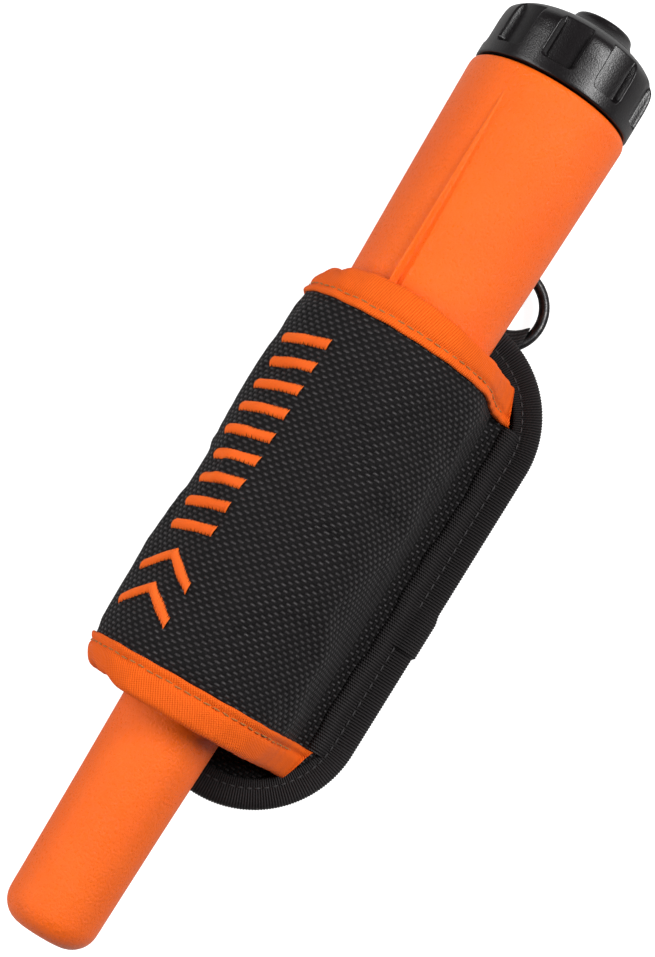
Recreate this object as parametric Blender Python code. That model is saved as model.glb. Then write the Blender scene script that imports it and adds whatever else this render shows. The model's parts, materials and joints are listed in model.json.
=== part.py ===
"""A hand-held metal-detecting pinpointer probe in its belt holster.

Lengths are in millimetres here, and MM turns them into Blender's metres where a mesh is made.
X runs along the probe towards its battery cap, Z is up, and the holster's stitched flap is on the -Y side.
The origin is on the outer face of the holster's belt loop, right under the probe's axis.
"""

import math

import bmesh
import bpy
from mathutils import Vector

MM = 0.001
SEGMENTS = 48

# The probe's axis is level, at this height over the belt loop.
PROBE_Z = 32.0

# Housing, from the closed tip to the open rim.
TIP_END = -102.0
TIP_CORNER = 6.0
TIP_RADIUS = 10.7
HANDLE_RADIUS = 19.5
RIM_X = 109.9
WALL = 1.8
BORE_RADIUS = 16.1
BULKHEAD_SEAT_X = 45.6
SPINE_ANGLE = 28.6
SPINE_HEIGHT = 0.8

# Screw cap: one right-hand thread, with room for the flanks to pass.
THREAD_PITCH = 4.0
THREAD_HEIGHT = 0.4
THREAD_START = 100.4
THREAD_END = 108.0
MALE_RADIUS = 16.2
FEMALE_RADIUS = 16.65
CAP_RADIUS = 19.2
SKIRT_X = 110.5
FLUTES = 9
FLUTE_ANGLE = 9.5
FLUTE_HALF_WIDTH = 12.0
FLUTE_FLOOR_RADIUS = 17.9
FLUTE_START = 113.4
CAP_WALL_RADIUS = 14.0
CAP_CEILING_X = 124.8
COLLAR_X = 131.0
COLLAR_BORE = 4.95

# The button and its collar sit off the cap's axis, towards the flap's side.
BUTTON_Y = -2.0
BUTTON_RADIUS = 4.6
BUTTON_FLANGE = 7.5
BUTTON_FLANGE_X = (122.8, 124.4)

# Battery, a standard 9 V block.
BATTERY_SIZE = (46.5, 26.5, 17.5)
BATTERY_START = 52.9

# Circuit board, down the middle of the cone.
BOARD_START = -38.0
BOARD_END = 42.0
BOARD_WIDTH = 15.0
BOARD_THICKNESS = 1.6
BOARD_SCREW_X = 38.0
BOARD_SCREW_Y = 4.5

# Vibration motor, above the board and along X.
MOTOR_X = 6.0
MOTOR_LENGTH = 16.0
MOTOR_RADIUS = 3.5
MOTOR_Z = PROBE_Z + 5.0

# Holster.
PANEL_Y = -13.5
PANEL_ENDS = (-34.3, 39.7)
PANEL_REACH = 25.6
PANEL_BOTTOM = 8.0
PANEL_TOP = 12.2
BINDING_WIDTH = 7.0
BINDING_SKIN = 0.6
SLEEVE_START = -40.9
SLEEVE_END = 45.7
SLEEVE_CENTRE_Z = 31.0
SLEEVE_Y = 0.5
SLEEVE_HALF_WIDTH = 22.4
SLEEVE_RISE = 20.4
SLEEVE_FOOT_Y = 10.5
SLEEVE_BASE_Z = 14.6
SLEEVE_THICKNESS = 1.8
SEAM_Y = -25.6
FLAP_Y = -31.4
TRIM_THICKNESS = 2.2
MOUTH_END_X = 54.2
TOE_END_X = -49.4
PIECE_GAP = 0.3
STRAP_HALF_WIDTH = 18.0
STRAP_THICKNESS = 1.6
STRAP_FLAT = (-30.0, 30.0)
STRAP_SEWN = (-50.0, 48.0)
STRAP_SLOPE = 11.0

# Ring, hanging in a folded tab under the panel's upper end.
RING_RADIUS = 9.35
RING_WIRE = 1.3
RING_Y = -15.6
RING_PIVOT_X = 62.4
RING_PIVOT_Z = 3.3
RING_OFFSET = 0.58
TAB_START_X = 49.0
TAB_WIDTH = 9.0
TAB_THICKNESS = 1.0
TAB_FOLD_RADIUS = 2.7

# (colour, roughness, metallic)
FINISHES = {
    "orange plastic": ((0.93, 0.17, 0.01), 0.38, 0.0),
    "black plastic": ((0.025, 0.022, 0.024), 0.5, 0.0),
    "black rubber": ((0.02, 0.02, 0.02), 0.7, 0.0),
    "black fabric": ((0.018, 0.016, 0.017), 0.85, 0.0),
    "orange fabric": ((0.85, 0.12, 0.01), 0.8, 0.0),
    "gunmetal": ((0.04, 0.04, 0.042), 0.3, 0.9),
    "foam": ((0.08, 0.08, 0.085), 0.9, 0.0),
    "ferrite": ((0.06, 0.06, 0.065), 0.6, 0.0),
    "copper": ((0.75, 0.3, 0.12), 0.35, 1.0),
    "brass": ((0.7, 0.5, 0.2), 0.3, 1.0),
    "steel": ((0.6, 0.6, 0.62), 0.3, 1.0),
    "green board": ((0.02, 0.2, 0.07), 0.4, 0.0),
    "grey plastic": ((0.25, 0.25, 0.26), 0.5, 0.0),
    "natural plastic": ((0.7, 0.68, 0.6), 0.5, 0.0),
    "red wire": ((0.6, 0.02, 0.02), 0.4, 0.0),
    "battery label": ((0.12, 0.16, 0.35), 0.35, 0.2),
}


def clear_scene():
    for item in list(bpy.data.objects):
        bpy.data.objects.remove(item, do_unlink=True)


def body_empty(name, location=(0, 0, 0), parent=None):
    """An empty on a moving body's joint axis; the body's pieces are parented to it."""
    empty = bpy.data.objects.new(name, None)
    bpy.context.collection.objects.link(empty)
    empty["at"] = location
    parent_at = Vector(parent["at"]) if parent else Vector()
    empty.parent = parent
    empty.location = (Vector(location) - parent_at) * MM
    return empty


def finish_material(name, finish):
    colour, roughness, metallic = FINISHES[finish]
    made = bpy.data.materials.new(name)
    made.use_nodes = True
    shader = made.node_tree.nodes["Principled BSDF"]
    shader.inputs["Base Color"].default_value = (*colour, 1.0)
    shader.inputs["Roughness"].default_value = roughness
    shader.inputs["Metallic"].default_value = metallic
    return made


def add_piece(name, bm, body, finish, smooth_angle=35):
    """Puts a bmesh made in world millimetres into the scene, under its body's empty."""
    bmesh.ops.recalc_face_normals(bm, faces=bm.faces[:])
    bmesh.ops.translate(bm, verts=bm.verts[:], vec=-Vector(body["at"]))
    bmesh.ops.scale(bm, verts=bm.verts[:], vec=(MM, MM, MM))
    mesh = bpy.data.meshes.new(name)
    bm.to_mesh(mesh)
    bm.free()
    mesh.shade_smooth()
    mesh.set_sharp_from_angle(angle=math.radians(smooth_angle))
    piece = bpy.data.objects.new(name, mesh)
    bpy.context.collection.objects.link(piece)
    piece.parent = body
    mesh.materials.append(finish_material(name, finish))
    return piece


def apply_boolean(target, operation, tool_bm, body):
    """Adds a Boolean whose tool is a hidden wire object."""
    tool = add_piece(f"{target.name}_tool_{len(target.modifiers)}", tool_bm, body, "steel")
    tool.hide_render = True
    tool.display_type = "WIRE"
    modifier = target.modifiers.new(f"{operation.lower()} {len(target.modifiers)}", "BOOLEAN")
    modifier.operation = operation
    modifier.solver = "EXACT"
    modifier.object = tool


def loft(rings, joined=False):
    """A skin through rings of equal length. It joins the last ring to the first, or caps both ends."""
    bm = bmesh.new()
    loops = [[bm.verts.new(point) for point in ring] for ring in rings]
    following = loops[1:] + loops[:1] if joined else loops[1:]
    for near, far in zip(loops, following):
        for i in range(len(near)):
            j = (i + 1) % len(near)
            bm.faces.new((near[i], near[j], far[j], far[i]))
    if not joined:
        bm.faces.new(loops[0])
        bm.faces.new(loops[-1])
    return bm


def turned(outline, joined=False, segments=SEGMENTS, centre=(0, PROBE_Z), relief=None, phase=0.0, shift=None):
    """A solid turned about a line along X. Angles run from +Z towards +Y, and relief moves a point in or out.

    shift gives how far along Y a ring of the outline sits from the line.
    """
    rings = []
    for x, radius in outline:
        y = centre[0] + (shift(x, radius) if shift else 0.0)
        ring = []
        for i in range(segments):
            angle = phase + math.tau * i / segments
            reach = radius + (relief(x, radius, angle) if relief else 0.0)
            ring.append((x, y + reach * math.sin(angle), centre[1] + reach * math.cos(angle)))
        rings.append(ring)
    return loft(rings, joined)


def upright(outline, x, y, segments=24, joined=False):
    """A solid turned about a vertical line, from (z, radius) points."""
    rings = []
    for z, radius in outline:
        turns = [math.tau * i / segments for i in range(segments)]
        rings.append([(x + radius * math.cos(t), y + radius * math.sin(t), z) for t in turns])
    return loft(rings, joined)


def block(low, high, bevel=0.0):
    bm = bmesh.new()
    bmesh.ops.create_cube(bm, size=1.0)
    size = Vector(high) - Vector(low)
    bmesh.ops.scale(bm, verts=bm.verts[:], vec=size)
    bmesh.ops.translate(bm, verts=bm.verts[:], vec=(Vector(low) + Vector(high)) / 2)
    if bevel:
        bmesh.ops.bevel(bm, geom=bm.edges[:], offset=bevel, segments=2, profile=0.5, affect="EDGES")
    return bm


def joined_blocks(pieces):
    """One bmesh that holds several separate shapes, for use as a Boolean's tool."""
    together = bmesh.new()
    for bm in pieces:
        scratch = bpy.data.meshes.new("scratch")
        bm.to_mesh(scratch)
        bm.free()
        together.from_mesh(scratch)
        bpy.data.meshes.remove(scratch)
    return together


def wire(points, radius, sides=8):
    """A round lead swept through points along a gently curved line."""
    rings = []
    for index, point in enumerate(points):
        ahead = Vector(points[min(index + 1, len(points) - 1)])
        behind = Vector(points[max(index - 1, 0)])
        along = (ahead - behind).normalized()
        side = along.cross(Vector((0, 0, 1))).normalized()
        over = side.cross(along)
        turns = [math.tau * i / sides for i in range(sides)]
        rings.append([Vector(point) + radius * (math.cos(t) * side + math.sin(t) * over) for t in turns])
    return loft(rings)


def bend(start, turn, end, steps=6):
    """Points on a curve that leaves start towards turn and reaches end."""
    start, turn, end = Vector(start), Vector(turn), Vector(end)
    shares = [i / steps for i in range(steps + 1)]
    return [(1 - s) ** 2 * start + 2 * s * (1 - s) * turn + s**2 * end for s in shares]


def arc(centre, radius_a, radius_b, start, end, steps):
    """Points on an ellipse, from angle start to end in degrees."""
    turns = [math.radians(start + (end - start) * i / steps) for i in range(steps + 1)]
    return [(centre[0] + radius_a * math.cos(t), centre[1] + radius_b * math.sin(t)) for t in turns]


def band(line, thickness, side=0.5):
    """A closed outline round an open line of 2-D points; side is the share of the thickness on its left."""
    left, right = [], []
    for index, point in enumerate(line):
        ahead = Vector(line[min(index + 1, len(line) - 1)])
        behind = Vector(line[max(index - 1, 0)])
        along = (ahead - behind).normalized()
        normal = Vector((-along.y, along.x))
        left.append(Vector(point) + normal * thickness * side)
        right.append(Vector(point) - normal * thickness * (1 - side))
    return left + right[::-1]


def along_x(outline, low, high):
    """A prism along X from (y, z) points."""
    return loft([[(x, y, z) for y, z in outline] for x in (low, high)])


def along_y(outline, low, high):
    """A prism along Y from (x, z) points."""
    return loft([[(x, y, z) for x, z in outline] for y in (low, high)])


def thread_wave(x, angle):
    """A right-hand helix about X, from -1 to 1."""
    return math.sin(math.tau * x / THREAD_PITCH + angle - math.pi / 2)


def thread_fade(x):
    """1 along the thread, falling to 0 over its first and last millimetre."""
    return max(0.0, min(1.0, x - THREAD_START, THREAD_END - x))


def thread_stations():
    count = round((THREAD_END - THREAD_START) * 6 / THREAD_PITCH)
    step = (THREAD_END - THREAD_START) / count
    return [THREAD_START + step * i for i in range(count + 1)]


def degrees_from(angle, centre):
    """The angle between a direction in radians and one in degrees, in degrees from 0 to 180."""
    return abs((math.degrees(angle) - centre + 180) % 360 - 180)


def make_housing(body):
    corner = arc((TIP_END + TIP_CORNER, TIP_RADIUS - TIP_CORNER), TIP_CORNER, TIP_CORNER, 180, 90, 5)
    outer = [
        *corner,
        (-70, 11.2),
        (-50, 11.7),
        (-30, 12.3),
        (-22, 12.9),
        (10, 15.4),
        (40, 17.5),
        (55, 17.9),
        (80, 18.7),
        (106.5, HANDLE_RADIUS),
        (RIM_X, HANDLE_RADIUS - 0.7),
    ]
    seal_seat = [(RIM_X, 18.3), (THREAD_END + 0.2, 18.3), (THREAD_END + 0.2, FEMALE_RADIUS + THREAD_HEIGHT)]
    thread = [(x, FEMALE_RADIUS) for x in reversed(thread_stations())]
    bore = [
        (THREAD_START - 0.6, BORE_RADIUS),
        (BULKHEAD_SEAT_X, BORE_RADIUS),
        (BULKHEAD_SEAT_X, 15.0),
        (40, 15.0),
        (-22, 12.9 - WALL - 0.2),
        (-50, 11.7 - WALL),
        (-94, TIP_RADIUS - WALL),
        (-98.5, 7.6),
        (TIP_END + 2.2, 5.5),
    ]

    def relief(x, radius, angle):
        if radius == FEMALE_RADIUS:
            fade = thread_fade(x)
            return THREAD_HEIGHT * (fade * thread_wave(x, angle) + 1 - fade)
        if radius > BORE_RADIUS + 1.2 and -10 < x < 106 and (x, radius) in outer:
            rise = min(1.0, (110 - x) / 50, (x + 20) / 30)
            return SPINE_HEIGHT * rise * max(0.0, 1 - degrees_from(angle, SPINE_ANGLE) / 7)
        return 0.0

    shell = turned(outer + seal_seat + thread + bore, relief=relief, phase=math.radians(SPINE_ANGLE))
    add_piece("housing", shell, body, "orange plastic", smooth_angle=30)


def make_search_coils(body):
    add_piece("tip_cushion", turned([(-98.7, 6.6), (-94.6, 6.6)], segments=24), body, "foam")
    add_piece("ferrite_core", turned([(-93.9, 4.0), (-49.5, 4.0)], segments=24), body, "ferrite")
    spool = [(-94.2, 4.4), (-94.2, 8.4), (-93.2, 8.4), (-93.2, 5.0), (-72.7, 5.0), (-72.7, 8.4)]
    spool += [(-71.7, 8.4), (-71.7, 5.0), (-50.2, 5.0), (-50.2, 8.4), (-49.2, 8.4), (-49.2, 4.4)]
    add_piece("coil_bobbin", turned(spool, joined=True, segments=24), body, "natural plastic")
    for name, start, end in (("transmit_coil", -92.8, -73.1), ("receive_coil", -71.3, -50.6)):
        winding = [(start, 5.35), (start, 8.0), (end, 8.0), (end, 5.35)]
        add_piece(name, turned(winding, joined=True, segments=24), body, "copper")
    spacer = [(-48.8, 3.5), (-48.8, 9.4), (-43.5, 9.4), (-43.5, 3.5)]
    add_piece("coil_spacer", turned(spacer, joined=True, segments=24), body, "foam")
    lead = bend((-47.5, 0, PROBE_Z + 1.0), (-42, 0, PROBE_Z + 1.9), (-36, 0, PROBE_Z + 1.9))
    add_piece("coil_leads", wire(lead, 0.7), body, "black rubber")


def board_screw_holes():
    holes = []
    for side in (-1, 1):
        outline = [(PROBE_Z - 6, 1.35), (PROBE_Z + 2, 1.35)]
        holes.append(upright(outline, BOARD_SCREW_X, side * BOARD_SCREW_Y, segments=16))
    return joined_blocks(holes)


def make_main_board(body):
    half = BOARD_WIDTH / 2
    low_z = PROBE_Z - BOARD_THICKNESS / 2
    high_z = PROBE_Z + BOARD_THICKNESS / 2
    board_bm = block((BOARD_START, -half, low_z), (BOARD_END, half, high_z))
    board = add_piece("main_board", board_bm, body, "green board")
    apply_boolean(board, "DIFFERENCE", board_screw_holes(), body)
    gap = 0.3
    top = high_z + gap
    add_piece("control_chip", block((-14, -4.5, top), (-5, 4.5, top + 1.2)), body, "black plastic")
    for name, x in (("capacitor_a", -30), ("capacitor_b", -22)):
        add_piece(name, upright([(top + 1.6, 2.5), (top + 6.6, 2.5)], x, 3.2, segments=16), body, "grey plastic")
    buzzer = upright([(low_z - gap - 4, 5.5), (low_z - gap, 5.5)], 26, 0)
    add_piece("buzzer", buzzer, body, "black plastic")
    for name, side in (("board_screw_a", 1), ("board_screw_b", -1)):
        outline = [(PROBE_Z - 3.9, 1.0), (top, 1.0), (top, 2.0), (top + 1.4, 2.0)]
        add_piece(name, upright(outline, BOARD_SCREW_X, side * BOARD_SCREW_Y, segments=16), body, "steel")


def make_motor(probe, weight_body):
    line = (0, MOTOR_Z)
    end = MOTOR_X + MOTOR_LENGTH
    can = [(MOTOR_X + 3.5, 0.9), (MOTOR_X, 0.9), (MOTOR_X, MOTOR_RADIUS), (end, MOTOR_RADIUS)]
    add_piece("vibration_motor", turned(can, segments=24, centre=line), probe, "steel")
    radius = MOTOR_RADIUS + 0.65
    leg = PROBE_Z + BOARD_THICKNESS / 2 + 0.4
    saddle = [(radius, leg), *arc(line, radius, radius, 0, 180, 12), (-radius, leg)]
    add_piece("motor_clip", along_x(band(saddle, 0.7), MOTOR_X + 5, MOTOR_X + 10), probe, "steel")

    def half_cut(x, radius, angle):
        return 1.0 - radius if radius > 2 and degrees_from(angle, 180) > 95 else 0.0

    weight = [(0.6, 3.2), (5.2, 3.2), (5.2, 0.5), (MOTOR_X + 3.0, 0.5)]
    weight_bm = turned(weight, segments=24, centre=line, relief=half_cut)
    add_piece("motor_weight", weight_bm, weight_body, "brass")


def make_bulkhead(body):
    start = BULKHEAD_SEAT_X + 0.4
    disc = add_piece("bulkhead", turned([(start, 15.6), (start + 2.5, 15.6)], segments=32), body, "grey plastic")
    shelf = block((34, -6, PROBE_Z - 4.3), (start + 1, 6, PROBE_Z - 1.1))
    apply_boolean(disc, "UNION", shelf, body)
    apply_boolean(disc, "DIFFERENCE", board_screw_holes(), body)
    passages = [turned([(start - 1, 1.4), (start + 4, 1.4)], segments=16, centre=(y, PROBE_Z + 6)) for y in (4, -4)]
    apply_boolean(disc, "DIFFERENCE", joined_blocks(passages), body)
    for name, y, finish in (("positive_lead", 4, "red wire"), ("negative_lead", -4, "black rubber")):
        above_board = PROBE_Z + 1.9
        route = [(48.3, y, PROBE_Z + 6), *bend((45, y, PROBE_Z + 6), (38, y, PROBE_Z + 6), (32, y, above_board))]
        add_piece(name, wire(route, 0.7), body, finish)


def make_battery(body):
    length, width, height = BATTERY_SIZE
    end = BATTERY_START + length
    snap = block((48.8, -12, PROBE_Z - 7), (50.2, 12, PROBE_Z + 7), bevel=0.4)
    add_piece("battery_snap", snap, body, "black plastic")
    low = (BATTERY_START, -width / 2, PROBE_Z - height / 2)
    high = (end, width / 2, PROBE_Z + height / 2)
    add_piece("battery", block(low, high, bevel=1.5), body, "battery label")
    for name, side, radius in (("battery_plus", 1, 2.9), ("battery_minus", -1, 4.0)):
        stud = turned([(50.5, radius), (52.6, radius)], segments=16, centre=(side * 6.4, PROBE_Z))
        add_piece(name, stud, body, "steel")
    strip = block((48.9, -2.5, PROBE_Z + 14.7), (99.4, 2.5, PROBE_Z + 15.1))
    add_piece("switch_strip", strip, body, "brass")


def make_cap(body):
    thread = [(x, MALE_RADIUS) for x in thread_stations()]
    neck = [*thread, (THREAD_END + 0.3, 16.0), (SKIRT_X, 16.0)]
    skirt = [(SKIRT_X, CAP_RADIUS - 0.4), (SKIRT_X + 0.5, CAP_RADIUS), (FLUTE_START - 0.5, CAP_RADIUS)]
    skirt += [(FLUTE_START, CAP_RADIUS), (119, CAP_RADIUS), (121.4, CAP_RADIUS - 0.2)]
    dome = [(123.0, 18.5), (124.2, 17.4), (125.5, 15.5), (126.6, 12.8), (127.3, 10.6)]
    collar = [(128.2, 8.2), (129.4, 7.4), (COLLAR_X - 0.4, 6.9), (COLLAR_X, 6.4), (COLLAR_X, COLLAR_BORE)]
    inside = [(CAP_CEILING_X, COLLAR_BORE), (CAP_CEILING_X, 12.0), (CAP_CEILING_X - 2, CAP_WALL_RADIUS)]
    inside.append((THREAD_START, CAP_WALL_RADIUS))

    def shift(x, radius):
        return BUTTON_Y if radius < 9 else 0.0

    def relief(x, radius, angle):
        if radius == MALE_RADIUS:
            fade = thread_fade(x)
            return THREAD_HEIGHT * (fade * thread_wave(x, angle) - 1 + fade)
        pitch = 360 / FLUTES
        from_flute = abs((math.degrees(angle) - FLUTE_ANGLE + pitch / 2) % pitch - pitch / 2)
        if x >= FLUTE_START and radius > FLUTE_FLOOR_RADIUS and from_flute < FLUTE_HALF_WIDTH:
            return FLUTE_FLOOR_RADIUS - radius
        return 0.0

    shell = turned(
        neck + skirt + dome + collar + inside,
        joined=True,
        segments=8 * FLUTES,
        relief=relief,
        phase=math.radians(FLUTE_ANGLE),
        shift=shift,
    )
    add_piece("cap", shell, body, "black plastic", smooth_angle=30)


def make_cap_fittings(body):
    add_piece("battery_pad", turned([(99.8, 13.5), (116.1, 13.5)], segments=24), body, "foam")
    ring = [(99.7, 14.4), (99.7, 15.5), (100.1, 15.5), (100.1, 14.4)]
    add_piece("contact_ring", turned(ring, joined=True, segments=32), body, "brass")
    add_piece("switch_board", turned([(116.5, 13.5), (118.1, 13.5)], segments=24), body, "green board")
    switch = block((118.4, -3, PROBE_Z - 3), (120.8, 3, PROBE_Z + 3), bevel=0.3)
    add_piece("tact_switch", switch, body, "black plastic")


def make_button(body):
    low, high = BUTTON_FLANGE_X
    foot = [(low - 0.6, 1.6), (low, 1.6)]
    flange = [(low, BUTTON_FLANGE), (high, BUTTON_FLANGE), (high, BUTTON_RADIUS)]
    top = [(COLLAR_X - 1.0, BUTTON_RADIUS), (COLLAR_X - 0.3, BUTTON_RADIUS - 0.6), (COLLAR_X - 0.1, 2.0)]
    stem = turned(foot + flange + top, segments=32, centre=(BUTTON_Y, PROBE_Z))
    add_piece("button", stem, body, "black rubber")


def make_cap_seal(body):
    section = arc((109.4, 17.2), 0.75, 0.75, 0, 315, 7)
    add_piece("cap_seal", turned(section, joined=True, segments=40), body, "black rubber")


def stadium(reach, z, steps=12):
    """A ring of points at one reach from the panel's centre line, round both of its half-round ends."""
    low, high = PANEL_ENDS
    right = arc((high, PANEL_Y), reach, reach, -90, 90, steps)
    left = arc((low, PANEL_Y), reach, reach, 90, 270, steps)
    return [(x, y, z) for x, y in right + left]


def make_panel(body):
    padded = [(24.2, PANEL_BOTTOM), (24.6, PANEL_BOTTOM + 0.8), (24.6, PANEL_TOP - 0.8), (24.2, PANEL_TOP)]
    add_piece("back_panel", loft([stadium(reach, z) for reach, z in padded]), body, "black fabric")
    outer = PANEL_REACH
    inner = PANEL_REACH - BINDING_WIDTH
    wall = PANEL_REACH - BINDING_SKIN
    low = PANEL_BOTTOM - 0.4
    high = PANEL_TOP + 0.4
    channel = [(outer, low - BINDING_SKIN), (outer, high + BINDING_SKIN), (inner, high + BINDING_SKIN)]
    channel += [(inner, high), (wall, high), (wall, low), (inner, low), (inner, low - BINDING_SKIN)]
    rings = [stadium(reach, z) for reach, z in channel]
    add_piece("edge_binding", loft(rings, joined=True), body, "black fabric")


def tangent_angle(half_width, rise, point):
    """The angle in degrees at which a line from a point outside meets the upper side of the sleeve's ellipse."""
    across = (point[0] - SLEEVE_Y) / half_width
    down = (point[1] - SLEEVE_CENTRE_Z) / rise
    toward = math.degrees(math.atan2(down, across)) % 360
    return toward - math.degrees(math.acos(1 / math.hypot(across, down)))


def sleeve_line(half_width, rise, flap_y):
    """The middle line of the sleeve's cloth across the probe, as (y, z) points from its foot to the flap's edge.

    The cloth wraps the probe, leaves it on a straight slope to the seam, and lies flat from there to the edge.
    """
    centre = SLEEVE_CENTRE_Z
    seam = (SEAM_Y, SLEEVE_BASE_Z)
    reach = SLEEVE_Y + half_width - SLEEVE_FOOT_Y
    foot = arc((SLEEVE_FOOT_Y, centre), reach, centre - SLEEVE_BASE_Z, -90, 0, 7)
    over = arc((SLEEVE_Y, centre), half_width, rise, 0, tangent_angle(half_width, rise, seam), 20)
    leaving = Vector(over[-1]).lerp(Vector(seam), 0.8)
    landing = Vector(seam).lerp(Vector((flap_y, SLEEVE_BASE_Z)), 0.5)
    rounded = [(y, z) for y, z, _ in bend((*leaving, 0), (*seam, 0), (*landing, 0), steps=5)]
    return foot + over[1:] + rounded + [(flap_y, SLEEVE_BASE_Z)]


def make_sleeve(body):
    """The black tube and the two orange edgings that close its ends."""

    def ring(x, thickness, half_width=SLEEVE_HALF_WIDTH, rise=SLEEVE_RISE, flap_y=FLAP_Y):
        return [(x, y, z) for y, z in band(sleeve_line(half_width, rise, flap_y), thickness)]

    tube = [ring(SLEEVE_START, SLEEVE_THICKNESS), ring(SLEEVE_END, SLEEVE_THICKNESS)]
    add_piece("sleeve", loft(tube), body, "black fabric")
    mouth_start = ring(SLEEVE_END + PIECE_GAP, TRIM_THICKNESS, flap_y=FLAP_Y + 1.4)
    mouth_end = ring(MOUTH_END_X, SLEEVE_THICKNESS, SLEEVE_HALF_WIDTH - 1.3, SLEEVE_RISE, FLAP_Y + 4.6)
    add_piece("mouth_trim", loft([mouth_start, mouth_end]), body, "orange fabric")
    toe_start = ring(TOE_END_X, 2.0, SLEEVE_HALF_WIDTH - 2.1, SLEEVE_RISE - 1.4, FLAP_Y + 3.2)
    toe_end = ring(SLEEVE_START - PIECE_GAP, TRIM_THICKNESS)
    add_piece("toe_trim", loft([toe_start, toe_end]), body, "orange fabric")


def make_belt_loop(body):
    """A webbing strap along X, sewn to the panel's back at both ends, for a belt to pass under."""
    half = STRAP_THICKNESS / 2
    sewn = PANEL_BOTTOM - 0.4 - BINDING_SKIN - PIECE_GAP - half
    low, high = STRAP_FLAT
    line = [(STRAP_SEWN[0], sewn), (low - STRAP_SLOPE, sewn), (low - STRAP_SLOPE + 2.5, sewn - 0.6)]
    line += [(low - 2.5, half + 0.6), (low, half), (high, half), (high + 2.5, half + 0.6)]
    line += [(high + STRAP_SLOPE - 2.5, sewn - 0.6), (high + STRAP_SLOPE, sewn), (STRAP_SEWN[1], sewn)]
    strap = along_y(band(line, STRAP_THICKNESS), PANEL_Y - STRAP_HALF_WIDTH, PANEL_Y + STRAP_HALF_WIDTH)
    add_piece("belt_loop", strap, body, "black fabric")


def make_ring_tab(body):
    top = RING_PIVOT_Z + TAB_FOLD_RADIUS
    fold = arc((RING_PIVOT_X, RING_PIVOT_Z), TAB_FOLD_RADIUS, TAB_FOLD_RADIUS, 90, -200, 18)
    line = [(TAB_START_X, top), (TAB_START_X + 5, top), *fold]
    tab = along_y(band(line, TAB_THICKNESS), RING_Y - TAB_WIDTH / 2, RING_Y + TAB_WIDTH / 2)
    add_piece("ring_tab", tab, body, "black fabric")


def make_ring(body):
    centre_x = RING_PIVOT_X - RING_OFFSET + RING_RADIUS
    section = arc((RING_RADIUS, RING_PIVOT_Z), RING_WIRE, RING_WIRE, 0, 324, 9)
    torus = upright([(z, radius) for radius, z in section], centre_x, RING_Y, segments=32, joined=True)
    add_piece("ring", torus, body, "gunmetal")


def main():
    clear_scene()
    holster = body_empty("holster_body")
    probe = body_empty("probe_body", (0, 0, PROBE_Z), holster)
    weight = body_empty("motor_weight_body", (3, 0, MOTOR_Z), probe)
    seal = body_empty("cap_seal_body", (109.4, 0, PROBE_Z), probe)
    cap = body_empty("cap_body", (SKIRT_X, 0, PROBE_Z), seal)
    button = body_empty("button_body", (BUTTON_FLANGE_X[0], BUTTON_Y, PROBE_Z), cap)
    ring = body_empty("ring_body", (RING_PIVOT_X, RING_Y, RING_PIVOT_Z), holster)
    make_housing(probe)
    make_search_coils(probe)
    make_main_board(probe)
    make_motor(probe, weight)
    make_bulkhead(probe)
    make_battery(probe)
    make_cap_seal(seal)
    make_cap(cap)
    make_cap_fittings(cap)
    make_button(button)
    make_panel(holster)
    make_sleeve(holster)
    make_belt_loop(holster)
    make_ring_tab(holster)
    make_ring(ring)


main()
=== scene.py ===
"""The looks of a pinpointer probe in its belt holster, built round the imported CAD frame.

Lengths are in millimetres, and MM turns them into metres where a mesh is made. X runs along the probe towards
its cap, Z is up, and the holster's stitched flap is on the -Y side. Angles round the probe run from +Z to +Y.
"""

import json
from math import acos, atan2, copysign, cos, degrees, exp, hypot, pi, radians, sin, sqrt, tau

import bmesh
import bpy
import numpy as np
from mathutils import Matrix, Vector


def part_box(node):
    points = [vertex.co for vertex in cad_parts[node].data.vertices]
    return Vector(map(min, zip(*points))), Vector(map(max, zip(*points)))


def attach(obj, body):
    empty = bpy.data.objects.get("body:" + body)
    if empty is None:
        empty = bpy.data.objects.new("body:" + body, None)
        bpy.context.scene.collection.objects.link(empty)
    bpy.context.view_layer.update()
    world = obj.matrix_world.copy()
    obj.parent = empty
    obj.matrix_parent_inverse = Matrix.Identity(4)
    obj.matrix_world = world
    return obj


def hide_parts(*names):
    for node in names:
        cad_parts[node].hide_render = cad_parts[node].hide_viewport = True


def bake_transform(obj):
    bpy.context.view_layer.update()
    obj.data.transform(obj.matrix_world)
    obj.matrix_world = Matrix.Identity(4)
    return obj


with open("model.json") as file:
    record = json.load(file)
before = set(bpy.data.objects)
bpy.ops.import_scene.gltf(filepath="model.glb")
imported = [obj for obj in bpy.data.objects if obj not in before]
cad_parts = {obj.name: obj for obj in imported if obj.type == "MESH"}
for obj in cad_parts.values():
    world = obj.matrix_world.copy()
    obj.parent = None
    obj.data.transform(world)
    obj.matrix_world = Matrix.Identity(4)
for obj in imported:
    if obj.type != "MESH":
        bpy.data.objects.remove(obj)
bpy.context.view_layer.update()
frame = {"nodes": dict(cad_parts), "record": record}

MM = 0.001


def node_box(node):
    low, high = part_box(node)
    return low / MM, high / MM


def middle(node):
    low, high = node_box(node)
    return (low + high) / 2


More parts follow.
